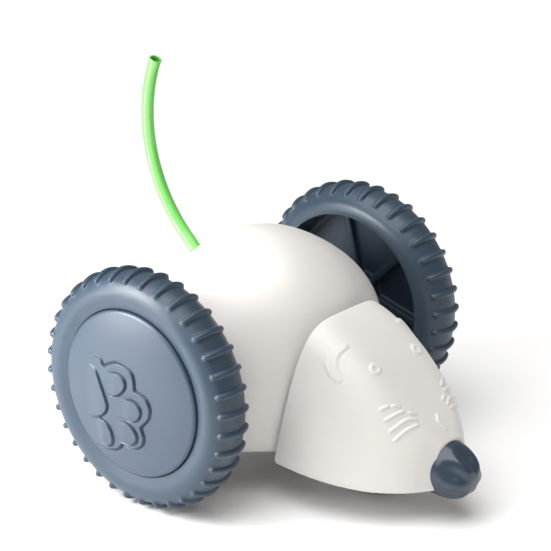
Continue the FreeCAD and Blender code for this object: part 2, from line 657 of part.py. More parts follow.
def gear_disc(teeth, turn, start, end, middle):
    """A solid spur gear between two places along X about a middle line."""
    wire = gear_wire(teeth, turn)
    wire.translate(Vector(start, middle.y, middle.z))
    return Part.Face(wire).extrude(Vector(end - start, 0, 0))


def x_rod(radius, start, end, middle):
    """A plain cylinder along X about a middle line."""
    return Part.makeCylinder(radius, end - start, Vector(start, middle.y, middle.z), X_AXIS)


axle_teeth = int(size("axle_teeth"))
wheel_teeth = int(size("wheel_teeth"))
pinion_teeth = int(size("pinion_teeth"))
drum_teeth = int(size("drum_teeth"))
first_distance = size("module_size") * (axle_teeth + wheel_teeth) / 2
second_distance = size("module_size") * (pinion_teeth + drum_teeth) / 2
axle_middle = Vector(0, 0, 0)
compound_up = math.sqrt(first_distance ** 2 - size("compound_back") ** 2)
compound_middle = Vector(0, size("compound_back"), compound_up)
first_angle = math.atan2(compound_middle.z, compound_middle.y)
second_angle = math.radians(size("drum_bearing"))
drum_middle = compound_middle + Vector(0, math.cos(second_angle), math.sin(second_angle)) * second_distance

train_start = size("train_start")
train_step = size("train_step")
axle_gear = gear_disc(axle_teeth, first_angle, train_start, train_step, axle_middle)
axle_gear = axle_gear.cut(x_rod(size("axle_radius"), train_start, train_step, axle_middle))
keep(shape_feature("AxleGear", axle_gear), "axle_gear")

wheel_phase = first_angle + math.pi + math.pi / wheel_teeth
compound_gear = gear_disc(wheel_teeth, wheel_phase, train_start, train_step, compound_middle)
compound_gear = compound_gear.fuse(gear_disc(pinion_teeth, second_angle, train_step, size("pinion_end"),
                                             compound_middle))
compound_bore = size("compound_pin_radius") + size("running_gap")
compound_gear = compound_gear.cut(x_rod(compound_bore, train_start, size("pinion_end"), compound_middle))
keep(shape_feature("CompoundGear", compound_gear), "compound_gear")

drum_phase = second_angle + math.pi + math.pi / drum_teeth
arbor_bore = size("arbor_radius") + size("running_gap")
spring_drum = gear_disc(drum_teeth, drum_phase, size("drum_gear_start"), size("drum_gear_end"), drum_middle)
drum_wall = x_rod(size("drum_radius"), size("drum_gear_end"), size("drum_end"), drum_middle)
spring_drum = spring_drum.fuse(drum_wall)
spring_drum = spring_drum.cut(x_rod(size("drum_cavity"), size("drum_floor"), size("drum_end"), drum_middle))
spring_drum = spring_drum.cut(x_rod(arbor_bore, size("drum_gear_start"), size("drum_end"), drum_middle))
keep(shape_feature("SpringDrum", spring_drum), "spring_drum")

drum_cover = x_rod(size("drum_radius"), size("drum_end"), size("cover_end"), drum_middle)
drum_cover = drum_cover.cut(x_rod(arbor_bore, size("drum_end"), size("cover_end"), drum_middle))
keep(shape_feature("DrumCover", drum_cover), "drum_cover")


def make_mainspring():
    """Mainspring: a flat strip wound in half-turns, its outer end against the drum's wall."""
    strip = size("spring_strip")
    half_turns = 2 * int(size("spring_turns"))
    start_radius = size("spring_start_radius")
    growth = (size("drum_cavity") - strip - start_radius) / half_turns
    shift = growth / 2
    inner_edges = []
    outer_edges = []
    for number in range(half_turns):
        sign = 1 if number % 2 == 0 else -1
        middle = Vector(0, sign * -shift, 0)
        inner = start_radius + shift + number * growth
        for radius, edges in ((inner, inner_edges), (inner + strip, outer_edges)):
            first = middle + Vector(0, sign * radius, 0)
            top = middle + Vector(0, 0, sign * radius)
            last = middle - Vector(0, sign * radius, 0)
            edges.append(Part.Arc(first, top, last).toShape())
    inner_wire = Part.Wire(inner_edges)
    outer_wire = Part.Wire(outer_edges)
    caps = [Part.LineSegment(inner_wire.OrderedVertexes[end].Point,
                             outer_wire.OrderedVertexes[end].Point).toShape() for end in (0, -1)]
    strip_face = Part.Face(Part.Wire(Part.__sortEdges__(inner_edges + outer_edges + caps)))
    start = size("drum_floor") + size("spring_side_gap")
    strip_face.translate(Vector(start, drum_middle.y, drum_middle.z))
    return strip_face.extrude(Vector(size("drum_end") - size("spring_side_gap") - start, 0, 0))


keep(shape_feature("Mainspring", make_mainspring()), "mainspring")

case_left = size("case_left")
case_right = size("case_right")
drum_arbor = x_rod(size("arbor_radius"), case_right, case_left, drum_middle)
keep(shape_feature("DrumArbor", drum_arbor), "drum_arbor")
compound_pin = x_rod(size("compound_pin_radius"), case_right, case_left, compound_middle)
keep(shape_feature("CompoundPin", compound_pin), "compound_pin")


# ---------------------------------------------------------------- motor case

def hull_prism(circles, start, end):
    """A prism along X whose outline wraps three circles given as (middle, radius)."""
    solid = None
    for number, (first, first_radius) in enumerate(circles):
        second, second_radius = circles[(number + 1) % len(circles)]
        span = second - first
        heading = math.atan2(span.z, span.y)
        spread = math.acos((first_radius - second_radius) / span.Length)
        corners = []
        for middle, radius, sign in ((first, first_radius, 1), (second, second_radius, 1),
                                     (second, second_radius, -1), (first, first_radius, -1)):
            angle = heading + sign * spread
            turned = Vector(start - middle.x, radius * math.cos(angle), radius * math.sin(angle))
            corners.append(middle + turned)
        side_plate = Part.Face(Part.makePolygon(corners + corners[:1])).extrude(Vector(end - start, 0, 0))
        pair = x_rod(first_radius, start, end, first).fuse(side_plate)
        solid = pair if solid is None else solid.fuse(pair)
    centres = [Vector(start, middle.y, middle.z) for middle, radius in circles]
    web = Part.Face(Part.makePolygon(centres + centres[:1])).extrude(Vector(end - start, 0, 0))
    return solid.fuse(web).removeSplitter()


def make_case_half(side, outside, inside):
    """One half of the motor case: a plate with a rim round the gears and a foot on the belly plate."""
    rooms = [(drum_middle, size("drum_room")), (compound_middle, size("compound_room")),
             (axle_middle, size("axle_room"))]
    walls = [(middle, radius + size("case_wall")) for middle, radius in rooms]
    start, end = sorted((outside, inside))
    wall = math.copysign(size("case_wall"), outside - inside)
    room_start, room_end = sorted((outside - wall, inside))
    foot_low = size("belly_level") + size("plate_thickness")
    foot = Part.makeBox(end - start, 2 * size("foot_half_length"), size("foot_top") - foot_low,
                        Vector(start, -size("foot_half_length"), foot_low))
    half = hull_prism(walls, start, end).fuse(foot).cut(hull_prism(rooms, room_start, room_end))
    half = half.cut(x_rod(size("axle_radius") + size("running_gap"), start, end, axle_middle))
    half = half.cut(x_rod(size("arbor_radius"), start, end, drum_middle))
    half = half.cut(x_rod(size("compound_pin_radius"), start, end, compound_middle))
    for screw in case_screw_solids():
        half = half.cut(screw)
    return keep(shape_feature(f"MotorCase_{side}", half.removeSplitter()), f"motor_case_{side}")


def case_screw_solids():
    """Two screws that clamp the case halves and two that hold its foot to the belly plate."""
    solids = []
    level = size("case_screw_level")
    for side in (-size("case_screw_side"), size("case_screw_side")):
        middle = Vector(0, side, level)
        solids.append(x_rod(size("case_screw_radius"), case_right, case_left - size("case_wall"), middle))
    for mark, alias in foot_screws:
        place = Vector(size(alias), 0, size("belly_level"))
        reach = size("plate_thickness") + size("foot_screw_length")
        shank = Part.makeCylinder(size("screw_radius"), reach, place)
        head = Part.makeCylinder(size("screw_head_radius"), size("screw_head_height"), place)
        solids.append(shank.fuse(head))
    return solids


make_case_half("left", case_left, size("case_split"))
make_case_half("right", case_right, size("case_split"))
keep(shape_feature("MotorScrews", Part.makeCompound(case_screw_solids())), "motor_screws")


# ---------------------------------------------------------------- check and write

doc.recompute()
for item in doc.Objects:
    if "Invalid" in item.State or "Error" in item.State:
        raise RuntimeError(f"{item.Name} ({item.Label}) failed: {item.State}")
os.makedirs("parts", exist_ok=True)
for item in pieces:
    if item.Shape.isNull() or not item.Shape.isValid():
        raise RuntimeError(f"{item.Label} has no valid shape")
    box = item.Shape.optimalBoundingBox(False)
    print(f"{item.Label:18s} {len(item.Shape.Solids)} solid(s) {item.Shape.Volume:10.1f} mm3  "
          f"x {box.XMin:.2f} {box.XMax:.2f}  y {box.YMin:.2f} {box.YMax:.2f}  "
          f"z {box.ZMin:.2f} {box.ZMax:.2f}")
    item.Shape.exportStep(f"parts/{item.Label}.step")
print("gear middles", compound_middle, drum_middle, "tail root", tail_root, "along", tail_way)
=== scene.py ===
import json
import math

import bpy
import numpy as np
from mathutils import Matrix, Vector


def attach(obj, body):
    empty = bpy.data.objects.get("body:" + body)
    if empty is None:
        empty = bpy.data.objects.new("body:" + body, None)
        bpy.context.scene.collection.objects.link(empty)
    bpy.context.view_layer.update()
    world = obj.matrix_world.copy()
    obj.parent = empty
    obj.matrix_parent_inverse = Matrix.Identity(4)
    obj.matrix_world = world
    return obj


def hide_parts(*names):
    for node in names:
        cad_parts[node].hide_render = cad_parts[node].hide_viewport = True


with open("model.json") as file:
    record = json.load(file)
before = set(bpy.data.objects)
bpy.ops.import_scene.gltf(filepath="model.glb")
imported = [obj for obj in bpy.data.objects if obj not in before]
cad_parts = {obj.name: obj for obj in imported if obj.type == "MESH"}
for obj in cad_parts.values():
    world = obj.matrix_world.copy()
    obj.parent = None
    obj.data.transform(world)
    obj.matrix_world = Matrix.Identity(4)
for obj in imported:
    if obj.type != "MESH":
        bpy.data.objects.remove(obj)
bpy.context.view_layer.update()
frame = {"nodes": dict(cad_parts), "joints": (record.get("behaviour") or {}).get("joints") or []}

# Shapes are worked out in millimetres about the middle of the drive axle, then moved to the frame in metres.
MM = 0.001
JOINTS = {joint["name"]: joint for joint in frame["joints"]}
AXLE = np.array(JOINTS["wheel_spin"]["pos_m"])

# Camera, about the axle: azimuth, elevation, distance and the point it looks at
CAMERA_AZIMUTH = -49.614
CAMERA_ELEVATION = 21.115
CAMERA_DISTANCE = 634.25
CAMERA_TARGET = (8.575, 1.261, 14.993)
CAMERA_LENS = 152.67


# ------------------------------------------------------------------ small numeric helpers

def smoothstep(value, low, high):
    """0 below low, 1 above high, an S-shaped ramp between."""
    ramp = np.clip((value - low) / (high - low), 0.0, 1.0)
    return ramp * ramp * (3.0 - 2.0 * ramp)


def smooth_max(first, second, soft):
    """The larger of two fields, with the crease rounded over the distance soft."""
    blend = np.clip(0.5 + 0.5 * (first - second) / soft, 0.0, 1.0)
    return second * (1 - blend) + first * blend + soft * blend * (1 - blend)


def smooth_min(first, second, soft):
    """The smaller of two fields, with the crease rounded over the distance soft."""
    return -smooth_max(-first, -second, soft)


def spline(knots, count):
    """count points on a smooth Catmull-Rom curve through the knots."""
    knots = np.array(knots, float)
    ends = np.vstack([2 * knots[0] - knots[1], knots, 2 * knots[-1] - knots[-2]])
    place = np.linspace(0, len(knots) - 1, count)
    index = np.minimum(place.astype(int), len(knots) - 2)
    local = (place - index)[:, None]
    before, start, end, after = (ends[index + step] for step in range(4))
    return 0.5 * (2 * start + (end - before) * local
                  + (2 * before - 5 * start + 4 * end - after) * local ** 2
                  + (3 * start - before - 3 * end + after) * local ** 3)


def curve_value(place, knots):
    """A smooth function through (place, value) knots, flat outside them."""
    knots = np.array(sorted(knots), float)
    xs, ys = knots[:, 0], knots[:, 1]
    slopes = np.gradient(ys, xs)
    place = np.clip(place, xs[0], xs[-1])
    index = np.clip(np.searchsorted(xs, place) - 1, 0, len(xs) - 2)
    span = xs[index + 1] - xs[index]
    local = (place - xs[index]) / span
    return ((1 + 2 * local) * (1 - local) ** 2 * ys[index] + local * (1 - local) ** 2 * span * slopes[index]
            + local ** 2 * (3 - 2 * local) * ys[index + 1] - local ** 2 * (1 - local) * span * slopes[index + 1])


def line_distance(points, line):
    """Distance from points to a line of short straight runs."""
    best = np.full(points.shape[:-1], 1e9)
    for start, end in zip(line[:-1], line[1:]):
        way = end - start
        share = np.clip(((points - start) @ way) / (way @ way), 0, 1)
        best = np.minimum(best, np.linalg.norm(points - start - share[..., None] * way, axis=-1))
    return best


def stroke_distance(points, knots):
    """Distance from points to a smooth stroke through the knots."""
    return line_distance(points, spline(knots, 24))


def outline_distance(points, knots):
    """How far flat points lie outside a smooth closed outline (negative inside)."""
    line = spline([*knots, knots[0]], 90)
    inside = np.zeros(points.shape[:-1], bool)
    for start, end in zip(line[:-1], line[1:]):
        crossing = (start[1] > points[..., 1]) != (end[1] > points[..., 1])
        reach = start[0] + (points[..., 1] - start[1]) * (end[0] - start[0]) / (end[1] - start[1] + 1e-12)
        inside ^= crossing & (points[..., 0] < reach)
    return np.where(inside, -1.0, 1.0) * line_distance(points, line)


# ------------------------------------------------------------------ mesh helpers

def grid_faces(rows, columns, wrap_rows, wrap_columns, offset=0):
    """Quads over a rows by columns grid of points."""
    row_count = rows if wrap_rows else rows - 1
    column_count = columns if wrap_columns else columns - 1
    row, column = np.meshgrid(np.arange(row_count), np.arange(column_count), indexing="ij")
    next_row, next_column = (row + 1) % rows, (column + 1) % columns
    corners = [row * columns + column, row * columns + next_column,
               next_row * columns + next_column, next_row * columns + column]
    return (np.stack(corners, -1).reshape(-1, 4) + offset).tolist()


def make_object(name, points, faces, material, body, replaces=(), smooth=True):
    """A mesh piece from points in millimetres about the axle, riding on a CAD body."""
    mesh = bpy.data.meshes.new(name)
    mesh.from_pydata((np.asarray(points) * MM + AXLE).tolist(), [], faces)
    mesh.validate()
    mesh.update()
    if smooth:
        mesh.polygons.foreach_set("use_smooth", [True] * len(mesh.polygons))
    piece = bpy.data.objects.new(name, mesh)
    bpy.context.scene.collection.objects.link(piece)
    mesh.materials.append(material)
    outward(piece)
    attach(piece, body)
    if replaces:
        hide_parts(*replaces)
    return piece


def outward(piece):
    """Turns all faces of a closed piece outwards."""
    import bmesh
    work = bmesh.new()
    work.from_mesh(piece.data)
    bmesh.ops.recalc_face_normals(work, faces=work.faces)
    work.to_mesh(piece.data)
    work.free()


def revolved(profile, steps):
    """Points and faces of a closed profile of (x, radius) turned about the X axis."""
    profile = np.array(profile, float)
    angles = np.linspace(0, 2 * math.pi, steps, endpoint=False)
    points = np.stack([np.repeat(profile[:, :1], steps, 1),
                       profile[:, 1:] * np.cos(angles), profile[:, 1:] * np.sin(angles)], -1)
    return points.reshape(-1, 3), grid_faces(len(profile), steps, True, True)


def apply_modifier(piece, kind, **settings):
    """Adds a modifier with the given settings and bakes it into the mesh."""
    modifier = piece.modifiers.new(kind.title(), kind)
    for key, value in settings.items():
        setattr(modifier, key, value)
    graph = bpy.context.evaluated_depsgraph_get()
    baked = bpy.data.meshes.new_from_object(piece.evaluated_get(graph))
    old = piece.data
    piece.modifiers.clear()
    piece.data = baked
    baked.name = old.name
    bpy.data.meshes.remove(old)


def wheel_side(points, side):
    """Left wheel points as they are; right wheel points turned half round the upright axis."""
    points = np.asarray(points, float)
    return points if side == "left" else points * (-1, -1, 1)


# ------------------------------------------------------------------ materials

class Nodes:
    """A small writer for one material's node tree."""

    def __init__(self, name):
        self.material = bpy.data.materials.new(name)
        self.material.use_nodes = True
        self.tree = self.material.node_tree
        self.shader = self.tree.nodes["Principled BSDF"]

    def add(self, kind, **settings):
        node = self.tree.nodes.new(kind)
        for key, value in settings.items():
            if hasattr(node, key):
                setattr(node, key, value)
            else:
                node.inputs[key.replace("_", " ")].default_value = value
        return node

    def link(self, source, target):
        self.tree.links.new(source, target)


def moulded(name, light, dark, roughness, grain, grain_size, bump=0.08, tint_size=35.0, sheen=0.0,
            subsurface=0.0, subsurface_colour=None, coat=0.0, spread=0.06, shine=0.5):
    """Moulded plastic or rubber: a broad colour drift, a fine surface grain and uneven gloss."""
    nodes = Nodes(name)
    place = nodes.add("ShaderNodeTexCoord").outputs["Object"]
    drift = nodes.add("ShaderNodeTexNoise", Scale=tint_size, Detail=3.0, Roughness=0.5)
    nodes.link(place, drift.inputs["Vector"])
    mix = nodes.add("ShaderNodeMix", data_type="RGBA")
    mix.inputs["A"].default_value = (*dark, 1)
    mix.inputs["B"].default_value = (*light, 1)
    ramp = nodes.add("ShaderNodeMapRange")
    ramp.inputs["From Min"].default_value = 0.3
    ramp.inputs["From Max"].default_value = 0.7
    nodes.link(drift.outputs["Fac"], ramp.inputs["Value"])
    nodes.link(ramp.outputs["Result"], mix.inputs["Factor"])
    nodes.link(mix.outputs["Result"], nodes.shader.inputs["Base Color"])
    speck = nodes.add("ShaderNodeTexNoise", Scale=grain_size, Detail=4.0, Roughness=0.6)
    nodes.link(place, speck.inputs["Vector"])
    gloss = nodes.add("ShaderNodeMapRange")
    gloss.inputs["From Min"].default_value = 0.3
    gloss.inputs["From Max"].default_value = 0.7
    gloss.inputs["To Min"].default_value = roughness - spread
    gloss.inputs["To Max"].default_value = roughness + spread
    nodes.link(speck.outputs["Fac"], gloss.inputs["Value"])
    nodes.link(gloss.outputs["Result"], nodes.shader.inputs["Roughness"])
    dent = nodes.add("ShaderNodeBump", Strength=bump, Distance=grain)
    nodes.link(speck.outputs["Fac"], dent.inputs["Height"])
    nodes.link(dent.outputs["Normal"], nodes.shader.inputs["Normal"])
    nodes.shader.inputs["Sheen Weight"].default_value = sheen
    nodes.shader.inputs["Sheen Roughness"].default_value = 0.5
    nodes.shader.inputs["Coat Weight"].default_value = coat
    nodes.shader.inputs["Coat Roughness"].default_value = roughness
    nodes.shader.inputs["Specular IOR Level"].default_value = shine
    if subsurface:
        nodes.shader.inputs["Subsurface Weight"].default_value = subsurface
        nodes.shader.inputs["Subsurface Radius"].default_value = subsurface_colour or (1.0, 0.7, 0.5)
        nodes.shader.inputs["Subsurface Scale"].default_value = 0.004
    return nodes.material


def metal(name, colour, roughness, brush_scale):
    """Drawn or plated metal with a fine brushed grain along the axle's direction."""
    nodes = Nodes(name)
    place = nodes.add("ShaderNodeTexCoord").outputs["Object"]
    stretch = nodes.add("ShaderNodeMapping")
    stretch.inputs["Scale"].default_value = (0.05, 1.0, 1.0)
    nodes.link(place, stretch.inputs["Vector"])
    brush = nodes.add("ShaderNodeTexNoise", Scale=brush_scale, Detail=5.0)
    nodes.link(stretch.outputs["Vector"], brush.inputs["Vector"])
    mix = nodes.add("ShaderNodeMix", data_type="RGBA")
    mix.inputs["A"].default_value = (*[part * 0.8 for part in colour], 1)
    mix.inputs["B"].default_value = (*colour, 1)
    nodes.link(brush.outputs["Fac"], mix.inputs["Factor"])
    nodes.link(mix.outputs["Result"], nodes.shader.inputs["Base Color"])
    gloss = nodes.add("ShaderNodeMapRange")
    gloss.inputs["To Min"].default_value = roughness - 0.08
    gloss.inputs["To Max"].default_value = roughness + 0.12
    nodes.link(brush.outputs["Fac"], gloss.inputs["Value"])
    nodes.link(gloss.outputs["Result"], nodes.shader.inputs["Roughness"])
    nodes.shader.inputs["Metallic"].default_value = 1.0
    return nodes.material


SHELL_WHITE = moulded("shell_white", (0.71, 0.694, 0.674), (0.69, 0.672, 0.65), 0.42, 0.00008, 2600.0, bump=0.05,
                      subsurface=0.12, subsurface_colour=(1.0, 0.75, 0.55))
SLEEVE_WHITE = moulded("sleeve_white", (0.70, 0.683, 0.66), (0.68, 0.662, 0.637), 0.5, 0.0001, 3200.0, bump=0.06,
                       subsurface=0.25, subsurface_colour=(1.0, 0.72, 0.52), sheen=0.06)
NOSE_SLATE = moulded("nose_slate", (0.028, 0.047, 0.074), (0.024, 0.041, 0.066), 0.25, 0.0001, 2400.0, bump=0.03,
                     spread=0.03, shine=0.6)
TYRE_SLATE = moulded("tyre_slate", (0.034, 0.058, 0.090), (0.030, 0.053, 0.082), 0.38, 0.00012, 2200.0, bump=0.04,
                     spread=0.03, shine=0.5)
# the rim's slate is darker and less glossy than the tyre's: partly its own colour, partly painted shade standing in for
# the shade inside the wheel's hollow around the spokes (the front roller shares it)
RIM_SLATE = moulded("rim_slate", (0.026, 0.040, 0.062), (0.022, 0.034, 0.054), 0.44, 0.0001, 2400.0, bump=0.04,
                    shine=0.3)
CAP_SLATE = moulded("cap_slate", (0.030, 0.055, 0.090), (0.027, 0.050, 0.083), 0.36, 0.0001, 2600.0, bump=0.03,
                    spread=0.03, shine=0.65)
TAIL_GREEN = moulded("tail_green", (0.185, 0.60, 0.13), (0.165, 0.555, 0.115), 0.16, 0.0001, 900.0, bump=0.01,
                     spread=0.02, coat=0.4, shine=0.6)
CHASSIS_GREY = moulded("chassis_grey", (0.13, 0.135, 0.145), (0.11, 0.115, 0.125), 0.55, 0.0001, 2000.0, bump=0.15)
GEAR_NYLON = moulded("gear_nylon", (0.74, 0.70, 0.58), (0.70, 0.655, 0.53), 0.45, 0.0001, 1800.0, bump=0.08,
                     subsurface=0.15)
BUSH_ACETAL = moulded("bush_acetal", (0.018, 0.018, 0.02), (0.013, 0.013, 0.015), 0.4, 0.0001, 2400.0, bump=0.08)
STEEL = metal("steel", (0.60, 0.60, 0.62), 0.28, 1800.0)
SPRING_STEEL = metal("spring_steel", (0.16, 0.19, 0.26), 0.34, 1500.0)
SCREW_STEEL = metal("screw_steel", (0.56, 0.56, 0.57), 0.36, 1600.0)
FLOOR_PALE = moulded("floor_pale", (0.93, 0.93, 0.93), (0.92, 0.92, 0.92), 0.6, 0.0005, 60.0, bump=0.01, tint_size=1.5)

CAD_FINISHES = {
    "belly_plate": SHELL_WHITE, "belly_screws": SCREW_STEEL, "head_core": SHELL_WHITE, "tail_peg": SHELL_WHITE,
    "axle_bush_left": BUSH_ACETAL, "axle_bush_right": BUSH_ACETAL, "drive_axle": STEEL, "axle_gear": GEAR_NYLON,
    "compound_gear": GEAR_NYLON, "compound_pin": STEEL, "spring_drum": GEAR_NYLON, "drum_cover": GEAR_NYLON,
    "drum_arbor": STEEL, "mainspring": SPRING_STEEL, "motor_case_left": CHASSIS_GREY,
    "motor_case_right": CHASSIS_GREY, "motor_screws": SCREW_STEEL, "wheel_nuts": SCREW_STEEL,
    "front_roller": RIM_SLATE, "roller_pin": STEEL, "roller_fork": SHELL_WHITE,
}


def finish_cad_nodes():
    """Gives every carried-over CAD node its own procedural material."""
    for node, material in CAD_FINISHES.items():
        piece = frame["nodes"][node]
        for place in range(max(1, len(piece.material_slots))):
            if piece.material_slots:
                piece.material_slots[place].material = material
            else:
                piece.data.materials.append(material)


# ------------------------------------------------------------------ body shell

BODY_RADIUS = 28.5
BODY_MIDDLE = -2.2
DOME_BASE = 3.0
BELLY = -21.0
HIP_RADIUS = 24.0
HIP_MIDDLE = 15.6
HIP_DROP = -2.0
HIP_END = 36.4


def body_field(points):
    """How far points lie outside the body's smooth outer form (negative inside)."""
    side, back, up = np.abs(points[..., 0]), points[..., 1] - BODY_MIDDLE, points[..., 2]
    above = np.maximum(up - DOME_BASE, 0.0)
    egg = np.sqrt(points[..., 0] ** 2 + back ** 2 + above ** 2) - BODY_RADIUS
    hip = np.sqrt((side - HIP_MIDDLE) ** 2 + points[..., 1] ** 2 + (up - HIP_DROP) ** 2) - HIP_RADIUS
    form = smooth_min(egg, hip, 7.0)
    form = smooth_max(form, side - HIP_END, 1.6)
    return smooth_max(form, BELLY - up, 3.0)


def make_body_shell():
    """White shell: the outer form traced outwards from its middle, on a ball-shaped grid."""
    rings, steps = 180, 320
    tilt = np.linspace(0, math.pi, rings + 2)[1:-1]
    turn = np.linspace(0, 2 * math.pi, steps, endpoint=False)
    ways = np.stack([np.outer(np.sin(tilt), np.cos(turn)), np.outer(np.sin(tilt), np.sin(turn)),
                     np.repeat(np.cos(tilt)[:, None], steps, 1)], -1).reshape(-1, 3)
    ways = np.vstack([ways, (0, 0, 1), (0, 0, -1)])
    middle = np.array([0.0, BODY_MIDDLE, 0.0])
    near, far = np.full(len(ways), 10.0), np.full(len(ways), 60.0)
    for _ in range(26):
        reach = (near + far) / 2
        outside = body_field(middle + ways * reach[:, None]) > 0
        far = np.where(outside, reach, far)
        near = np.where(outside, near, reach)
    points = middle + ways * near[:, None]
    faces = grid_faces(rings, steps, False, True)
    top, bottom = rings * steps, rings * steps + 1
    for step in range(steps):
        following = (step + 1) % steps
        faces.append([top, step, following])
        faces.append([bottom, (rings - 1) * steps + following, (rings - 1) * steps + step])
    return make_object("body_shell_skin", points, faces, SHELL_WHITE, "chassis", ["body_shell"])


# ------------------------------------------------------------------ head sleeve

RIM_FOOT = -24.0
RIM_LEAN = 0.168
SNOUT_PLACE = -64.8
HEAD_BASE = -23.5
HEAD_WIDTH = [(-22, 21.4), (-29, 22.1), (-36, 22.4), (-46, 21.2), (-55, 17.7), (-61.5, 11.9), (-64.8, 7.3), (-66.2, 6.0)]
HEAD_TOP = [(-22, 17.3), (-29, 16.4), (-36, 13.7), (-46, 7.3), (-55, -1.0), (-61.5, -7.5), (-64.8, -11.2), (-66.2, -12.6)]
HEAD_RISE = 2.5
HEAD_EXPONENT = 5.1
HEAD_TAPER = 0.13
HEAD_EDGE = 3.0
SLEEVE_WALL = 1.6


def head_field(side, back, up):
    """How far a point lies outside the head's cross-section at its own place (negative inside)."""
    top = curve_value(back, HEAD_TOP)
    level = np.clip((up - HEAD_BASE) / (top - HEAD_BASE), 0.0, 1.0)
    half = curve_value(back, HEAD_WIDTH) * (1 - level ** HEAD_RISE) ** (1 / HEAD_EXPONENT) * (1 - HEAD_TAPER * level)
    return smooth_max(np.abs(side) - half, HEAD_BASE - up, HEAD_EDGE)


def head_surface(angle, start):
    """Points of the head: angle runs round the cross-section, start is the place before the rim's lean."""
    fade = np.clip((start - SNOUT_PLACE) / (RIM_FOOT - SNOUT_PLACE), 0, 1) ** 1.5
    back = start.copy()
    for _ in range(4):
        middle = HEAD_BASE + 0.4 * (curve_value(back, HEAD_TOP) - HEAD_BASE)
        near, far = np.zeros_like(back), np.full_like(back, 45.0)
        for _ in range(22):
            reach = (near + far) / 2
            outside = head_field(reach * np.cos(angle), back, middle + reach * np.sin(angle)) > 0
            outside |= middle + reach * np.sin(angle) > curve_value(back, HEAD_TOP)
            far = np.where(outside, reach, far)
            near = np.where(outside, near, reach)
        up = middle + near * np.sin(angle)
        back = start - RIM_LEAN * (up - HEAD_BASE) * fade
    return np.stack([near * np.cos(angle), back, up], -1)


def make_head_sleeve():
    """Soft cap over the front of the body, with its raised face."""
    around_steps, along_steps = 480, 300
    around = np.linspace(0, 2 * math.pi, around_steps, endpoint=False)
    along = RIM_FOOT + (SNOUT_PLACE - RIM_FOOT) * np.linspace(0, 1, along_steps)
    angle, start = np.meshgrid(around, along)
    outer = head_surface(angle, start)
    across = np.roll(outer, -1, 1) - np.roll(outer, 1, 1)
    forward = np.gradient(outer, axis=0)
    normal = np.cross(across, forward)
    normal /= np.linalg.norm(normal, axis=-1, keepdims=True) + 1e-9
    centre = outer.mean(1, keepdims=True)
    normal *= np.sign(((outer - centre) * normal).sum(-1).mean())
    plain = outer
    outer = outer + normal * face_relief(outer)[..., None]
    # the rim rounds over its wall, then the inside follows the outside at the wall's distance
    half_wall = SLEEVE_WALL / 2
    rounds = [outer[0] - normal[0] * half_wall * (1 - math.cos(turn)) + np.array([0, half_wall * math.sin(turn), 0])
              for turn in np.linspace(0, math.pi, 13)[1:]]
    inner = [plain[row] - normal[row] * SLEEVE_WALL for row in (10, 24, 40)]
    rows = np.array(inner[::-1] + rounds[::-1] + list(outer))
    points = np.vstack([rows.reshape(-1, 3), rows[-1].mean(0), rows[0].mean(0)])
    faces = grid_faces(len(rows), around_steps, False, True)
    front, back = len(points) - 2, len(points) - 1
    last = (len(rows) - 1) * around_steps
    faces += [[front, last + step, last + (step + 1) % around_steps] for step in range(around_steps)]
    faces += [[back, (step + 1) % around_steps, step] for step in range(around_steps)]
    return make_object("head_sleeve_skin", points, faces, SLEEVE_WHITE, "chassis", ["head_sleeve"])


# raised marks of the face, on the mouse's right side, as (side, back, up) points on the head
EYE_PLACE = np.array([-8.6, -46.8, 6.5])
EAR_OUTSIDE = [(-11.2, -38.9, 11.3), (-13.7, -37.3, 10.6), (-15.5, -36.1, 9.0), (-16.4, -36.0, 7.6),
               (-16.8, -37.3, 6.0), (-16.9, -39.1, 4.9), (-16.5, -41.2, 4.5)]
EAR_INSIDE = [(-11.2, -38.9, 11.3), (-13.1, -38.9, 10.2), (-14.2, -39.2, 9.0), (-14.9, -39.6, 8.0),
              (-15.7, -40.3, 6.5), (-16.5, -41.2, 4.5)]
WHISKERS = [
    [(-13.3, -52.3, -1.7), (-12.5, -52.8, -1.3), (-11.6, -53.2, -1.1)],
    [(-10.5, -53.9, -1.1), (-9.7, -54.3, -1.1), (-9.0, -54.9, -1.5)],
    [(-13.4, -54.0, -4.1), (-11.3, -55.1, -3.1), (-8.8, -56.0, -2.6)],
    [(-13.5, -55.6, -6.7), (-10.6, -57.0, -4.9), (-8.3, -57.8, -4.4), (-6.6, -58.7, -4.9)],
    [(-7.3, -57.0, -3.2), (-6.6, -57.4, -3.4), (-5.9, -57.7, -3.7)],
    [(-13.2, -57.0, -8.7), (-10.6, -58.3, -6.7), (-7.2, -59.5, -5.9)],
]
MOUTH_STROKE = [(0.6, -59.9, -5.8), (-0.3, -61.1, -7.0), (0.6, -62.9, -8.7)]


def face_relief(points):
    """How far the face's marks stand above the head's surface."""
    mirrored = points.copy()
    mirrored[..., 0] = -np.abs(mirrored[..., 0])
    eye = np.linalg.norm(mirrored - EYE_PLACE, axis=-1)
    height = 0.4 * (1 - smoothstep(eye, 1.3, 2.0)) - 0.3 * (1 - smoothstep(eye, 0.45, 1.0))
    # the ear is the crescent between its outside and inside strokes
    outside, inside = spline(EAR_OUTSIDE, 16), spline(EAR_INSIDE, 16)
    ear = np.full(points.shape[:-1], 1e9)
    for share in (0.25, 0.5, 0.75):
        ear = np.minimum(ear, stroke_distance(mirrored, outside + (inside - outside) * share))
    height += 0.45 * (1 - smoothstep(ear, 0.25, 1.25))
    whisker = np.full(points.shape[:-1], 1e9)
    for knots in WHISKERS:
        whisker = np.minimum(whisker, stroke_distance(mirrored, knots))
    height += 0.42 * (1 - smoothstep(whisker, 0.1, 0.62))
    height += 0.5 * (1 - smoothstep(stroke_distance(points, MOUTH_STROKE), 0.15, 0.7))
    return height


# ------------------------------------------------------------------ nose

